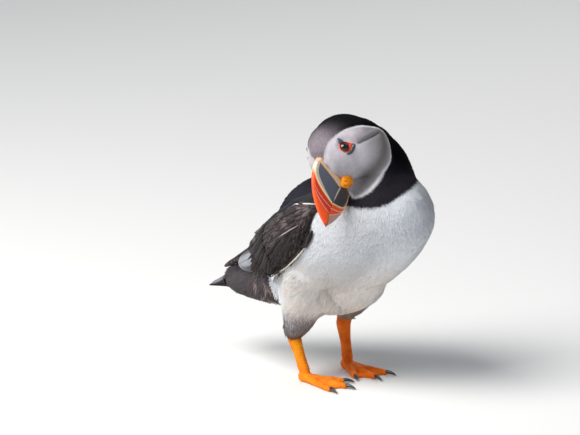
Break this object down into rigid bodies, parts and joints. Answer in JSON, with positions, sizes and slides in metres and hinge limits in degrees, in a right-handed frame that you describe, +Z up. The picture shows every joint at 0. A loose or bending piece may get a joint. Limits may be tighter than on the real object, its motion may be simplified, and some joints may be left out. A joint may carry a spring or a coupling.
{
  "type": "atlantic puffin museum model",
  "caption": "Life-size still model of an Atlantic puffin in summer plumage, standing at rest on orange webbed feet with its head turned over its right side and its bill lowered.",
  "frame": {"origin": "Middle of the whole model's box, on the plane of the soles.", "axes": "+Z up, -Y the way the body faces, +X the bird's left"},
  "size_m": [0.1222, 0.1946, 0.2019],
  "materials": {
    "face_plumage": "short close feathers, pale grey face under a charcoal crown",
    "dark_plumage": "short close slate-black feathers",
    "body_plumage": "soft white feathers, slate-black on the back, greyer on the thighs",
    "wing_feathers": "brown-black feathers with worn paler edges",
    "tail_feathers": "slate feathers with pale edges",
    "leg_skin": "scaly orange skin, slightly moist",
    "claw_horn": "dark grey horn",
    "bill_horn": "satin grooved horn in slate blue, cream, orange and red",
    "rosette_skin": "wrinkled fleshy yellow-orange skin",
    "eye_gloss": "wet near-black eye"
  },
  "bodies": {
    "root": {"head": "face_plumage", "neck": "dark_plumage", "trunk": "body_plumage", "thigh_left": "body_plumage", "thigh_right": "body_plumage", "wing_left": "wing_feathers", "wing_right": "wing_feathers", "tail": "tail_feathers", "leg_left": "leg_skin", "leg_right": "leg_skin", "foot_left": "leg_skin", "foot_right": "leg_skin", "claw_left_outer": "claw_horn", "claw_left_middle": "claw_horn", "claw_left_inner": "claw_horn", "claw_right_outer": "claw_horn", "claw_right_middle": "claw_horn", "claw_right_inner": "claw_horn", "bill_upper": "bill_horn", "bill_lower": "bill_horn", "rosette_left": "rosette_skin", "rosette_right": "rosette_skin", "eye_left": "eye_gloss", "eye_right": "eye_gloss"}
  },
  "joints": []
}
